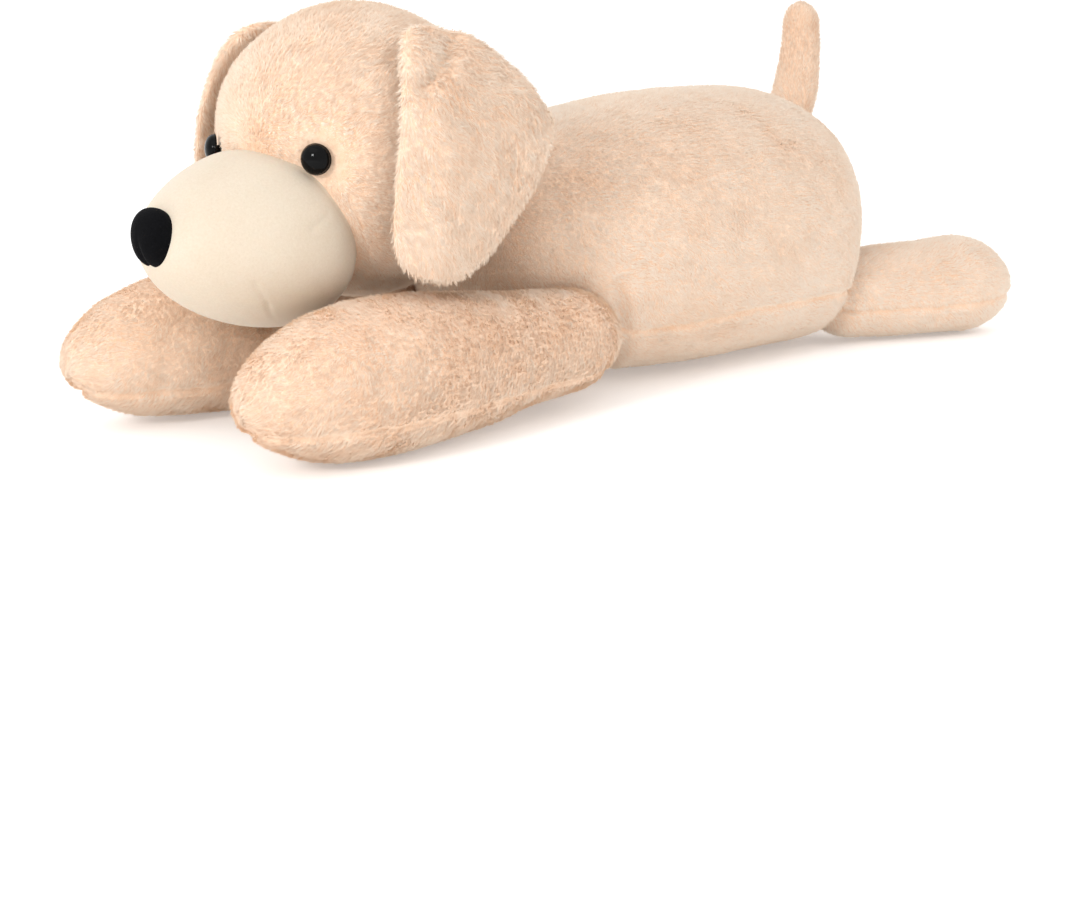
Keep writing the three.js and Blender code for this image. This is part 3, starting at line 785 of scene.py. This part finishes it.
inBody = np.full(len(headPoints), 0.2)
pick = near(headPoints, bodyPoints, 20 * mm)
inBody[pick] = signedDistance(headPoints[pick], wholeBody, 0.15)
headWeight = smoothStep(inBody, -9 * mm, -3 * mm) * smoothStep(headToMuzzle, -5 * mm, 1 * mm)
for side, direction in eyes.items():
    gap = np.linalg.norm(headPoints - headCentre - direction * head["radius"], axis=1)
    headWeight = headWeight * (0.35 + 0.65 * smoothStep(gap, 15 * mm, 32 * mm))
    headWeight = headWeight * smoothStep(gap, 10 * mm, 14 * mm)
lumps = 0.8 * mm * wander(headPoints, 50 * mm, 61) + 0.4 * mm * wander(headPoints, 20 * mm, 62)
headSkin = (pushIn(headPoints, headFaces, lumps), headFaces)
finishSkin(headSkin, "headCover", ["head"],
           ["head_gusset", "head_side_left", "head_side_right", "head_stuffing"])


def brushHead(p):
    # away from the muzzle, over the brow and down the cheeks
    d = p - np.array([0, -0.36, 0.20])
    d[:, 2] -= 0.02
    return d


headPile = addPile("headPile", headSkin, headWeight, brushHead,
                   {"length": 5 * mm, "lean": 0.35, "tone": 2.1}, 63)
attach(headPile, "head")

muzzlePoints = pushIn(muzzlePoints, muzzleFaces, 0.5 * mm * wander(muzzlePoints, 45 * mm, 71))
finishSkin((muzzlePoints, muzzleFaces), "muzzleCover", ["head"], ["muzzle_cover", "muzzle_stuffing"],
           None, muzzleCloth)

nose = {"fullness": 2.3, "halfDepth": 14.4 * mm, "fold": 1.6 * mm, "fine": (72, 48)}
noseLow, noseHigh = (np.array(c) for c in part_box("nose_cover"))


def nosePlace(turn, way):
    power = 2 / nose["fullness"]
    ring = np.sin(way)
    c, s = np.cos(turn), np.sin(turn)
    lobe = (np.abs(c) ** nose["fullness"] + np.abs(s) ** nose["fullness"]) ** (-1 / nose["fullness"])
    middle = (noseLow + noseHigh) / 2
    wide, tall = (noseHigh[0] - noseLow[0]) / 2, (noseHigh[2] - noseLow[2]) / 2
    deep = nose["halfDepth"]
    narrow = 1 - 0.10 * np.clip(-s, 0, 1)
    return np.stack([ring * c * lobe * wide * narrow, noseLow[1] + deep - np.cos(way) * deep,
                     middle[2] + ring * s * lobe * tall], -1)


nosePoints, noseFaces = closedGrid(*nose["fine"], nosePlace)
foldLine = nose["fold"] * np.exp(-(nosePoints[:, 0] / (2.5 * mm)) ** 2)
foldLine = foldLine * smoothStep(-nosePoints[:, 2], -0.172, -0.150)
nosePoints = pushIn(nosePoints, noseFaces, foldLine)
finishSkin((nosePoints, noseFaces), "noseCover", ["head"], ["nose_cover", "nose_filling"],
           None, noseCloth)

# Eyes.

eye = {"radius": 11.25 * mm, "rimThick": 2 * mm, "dome": 7 * mm, "seat": 107.8 * mm, "fine": (64, 110)}


def eyePlace(turn, way):
    # from the back of the shank to the top of the dome
    outline = np.array([
        (-13, 0), (-13, 2.4), (-12.4, 3), (-0.6, 3), (-0.2, 3.4), (0, 10.6),
        (0.25, 11.3), (0.8, 11.6), (1.35, 11.65), (1.8, 11.6), (2.0, 11.4),
    ]) * mm
    a = np.linspace(0, np.pi / 2, 24)[1:]
    dome = np.stack([eye["rimThick"] + np.sin(a) * eye["dome"], np.cos(a) * (eye["radius"] - 0.1 * mm)], -1)
    profile = np.vstack([outline, dome])
    step = np.r_[0, np.cumsum(np.linalg.norm(np.diff(profile, axis=0), axis=1))]
    t = way / np.pi * step[-1]
    radius, height = np.interp(t, step, profile[:, 1]), np.interp(t, step, profile[:, 0])
    return np.stack([radius * np.cos(turn), radius * np.sin(turn), height + eye["seat"]], -1)


for side, word in ((1, "left"), (-1, "right")):
    points, faces = closedGrid(*eye["fine"], eyePlace)
    turn = Vector((0, 0, 1)).rotation_difference(Vector(eyes[side])).to_matrix()
    points = points @ np.array(turn).T + headCentre
    obj = addPiece("eye_dome_" + word, points, faces, eyePlastic)
    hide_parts("eye_" + word)
    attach(obj, "head")
    frame["nodes"]["eye_washer_" + word].data.materials.clear()
    frame["nodes"]["eye_washer_" + word].data.materials.append(washerPlastic)
print("face finished")

# Ears.

ear = {
    "rootAngle": 48.0, "rootY": -253 * mm, "thick": 24 * mm, "length": 181 * mm, "width": 160 * mm,
    "rootWidth": 54 * mm, "rise": 8.4 * mm, "wrap": 129 * mm, "fine": (150, 100),
    "pinch": [(104, -240, 305), (118, -267, 282), (126, -293, 270)],
    "frontDrop": 12 * mm,
    "pile": {"length": 5.5 * mm, "gather": 0.5, "rise": 0.42, "lean": 0.4, "clump": 4.2 * mm, "tone": 1.7},
}


def earOutline(count):
    half, root, length = ear["width"] / 2, ear["rootWidth"] / 2, ear["length"]
    knots = np.array([
        (-root, -ear["rise"]), (root * 0.9, -ear["rise"]),
        (half * 0.74, length * 0.11), (half * 1.13, length * 0.38), (half * 0.96, length * 0.61),
        (half * 0.57, length * 0.8), (half * 0.08, length * 0.97), (-half * 0.42, length),
        (-half * 0.78, length * 0.9), (-half * 0.79, length * 0.58), (-half * 0.67, length * 0.26),
    ])
    spline = []
    n = len(knots)
    for i in range(n):
        p0, p1, p2, p3 = (knots[(i + k - 1) % n] for k in range(4))
        t = np.linspace(0, 1, 24, endpoint=False)[:, None]
        spline.append(0.5 * (2 * p1 + (p2 - p0) * t + (2 * p0 - 5 * p1 + 4 * p2 - p3) * t ** 2
                             + (3 * p1 - p0 - 3 * p2 + p3) * t ** 3))
    line = np.vstack(spline + [knots[:1]])
    step = np.r_[0, np.cumsum(np.linalg.norm(np.diff(line, axis=0), axis=1))]
    at = np.arange(count) / count * step[-1]
    return np.stack([np.interp(at, step, line[:, k]) for k in (0, 1)], -1)


def earPlace(turn, way):
    rim = earOutline(720)
    index = np.round(turn / (2 * np.pi) * 720).astype(int) % 720
    centre = np.array([0, ear["length"] * 0.48])
    flat = np.sin(way) ** (2 / 3)
    lift = np.sign(np.cos(way)) * np.abs(np.cos(way)) ** (2 / 3)
    reach = rim[index] - centre
    reach = reach * (1 - pile["inset"] * 0.9 / np.linalg.norm(reach, axis=1))[:, None]
    uv = centre + reach * flat[:, None]
    return np.stack([uv[:, 0], uv[:, 1], lift * (ear["thick"] / 2 - pile["inset"] * 0.9)], -1)


def hangEar(flat, side):
    start = math.radians(ear["rootAngle"])
    arc = ear["wrap"] * (math.pi / 2 - start)
    u, v, t = flat.T
    forward = smoothStep(-u, ear["width"] * 0.18, ear["width"] * 0.46)
    forward = forward * smoothStep(v, 0, ear["length"] * 0.25)
    radius = ear["wrap"] + t * (1 - 0.6 * forward) - ear["frontDrop"] * forward
    angle = np.minimum(start + v / ear["wrap"], math.pi / 2)
    below = np.clip(v - arc, 0, None)
    return np.stack([side * radius * np.sin(angle), ear["rootY"] + u,
                     headCentre[2] + radius * np.cos(angle) - below], -1)


def brushDown(p):
    return np.stack([np.zeros(len(p)), np.full(len(p), 0.25), np.full(len(p), -1.0)], -1)


for side, word in ((1, "left"), (-1, "right")):
    flat, faces = closedGrid(*ear["fine"], earPlace)
    points = hangEar(flat, side)
    tri = trianglesOf(faces)
    a, b, c = (points[tri[:, n]] - headCentre for n in range(3))
    if np.einsum("ij,ij->i", a, np.cross(b, c)).sum() < 0:
        faces = [f[::-1] for f in faces]
    dip = 1.2 * mm * wander(points, 40 * mm, 81) + 0.6 * mm * wander(points, 17 * mm, 82)
    crease, _ = alongLine(points, ear["pinch"])
    dip += 7 * mm * np.exp(-(crease / (8 * mm)) ** 2)
    points = pushIn(points, faces, dip)
    skin = (points, faces)
    name = "ear_" + word
    finishSkin(skin, name + "Cover", [name],
               [f"ear_outer_{word}", f"ear_inner_{word}", f"ear_wadding_{word}"], None)
    strands = addPile(name + "Pile", skin, np.ones(len(points)), brushDown, ear["pile"],
                      83 if side > 0 else 84)
    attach(strands, name)
print("ears hung")

# Floor, light and camera.

studio = {
    "floor": (0.93, 0.93, 0.93),
    "glow": 0.24,  # a lit backdrop, which keeps the shadows pale
    "world": 1.17,
    "key": 3.0,
    "window": 14.0,
    "camera": (1.1387, -1.2434, 0.351),
    "tilt": 75.483,
    "turn": 43.409,
    "lens": 63.62,
}
floorMesh = bpy.data.meshes.new("floor")
floorMesh.from_pydata([(-40, -40, 0), (40, -40, 0), (40, 40, 0), (-40, 40, 0)], [], [(0, 1, 2, 3)])
floor = bpy.data.objects.new("floor", floorMesh)
bpy.context.scene.collection.objects.link(floor)
floorMaterial, tree, shader = newMaterial("paleFloor", {
    "Base Color": (*studio["floor"], 1), "Roughness": 1.0, "Specular IOR Level": 0.0,
    "Emission Color": (1, 1, 1, 1), "Emission Strength": studio["glow"],
})
floorMesh.materials.append(floorMaterial)

world = bpy.data.worlds.new("studio")
bpy.context.scene.world = world
world.use_nodes = True
world.node_tree.nodes["Background"].inputs["Color"].default_value = (1, 1, 1, 1)
world.node_tree.nodes["Background"].inputs["Strength"].default_value = studio["world"]


def addLight(name, spot, aim, size, power):
    lamp = bpy.data.lights.new(name, "AREA")
    lamp.shape = "RECTANGLE"
    lamp.size, lamp.size_y = size
    lamp.energy = power
    obj = bpy.data.objects.new(name, lamp)
    obj.location = spot
    obj.rotation_euler = (Vector(aim) - Vector(spot)).to_track_quat("-Z", "Y").to_euler()
    bpy.context.scene.collection.objects.link(obj)
    return obj


addLight("keyLight", (0.2, -1.7, 1.9), (0, 0, 0.1), (1.6, 1.2), studio["key"])
addLight("windowLight", (0.5, -2.2, 0.95), (0.05, -0.3, 0.2), (0.34, 0.34), studio["window"])

lens = bpy.data.cameras.new("camera")
lens.lens = studio["lens"]
lens.sensor_width = 36
lens.clip_start = 0.01
camera = bpy.data.objects.new("camera", lens)
camera.location = studio["camera"]
camera.rotation_euler = (math.radians(studio["tilt"]), 0, math.radians(studio["turn"]))
bpy.context.scene.collection.objects.link(camera)
bpy.context.scene.camera = camera
bpy.context.scene.view_settings.view_transform = "Standard"
print("studio ready")
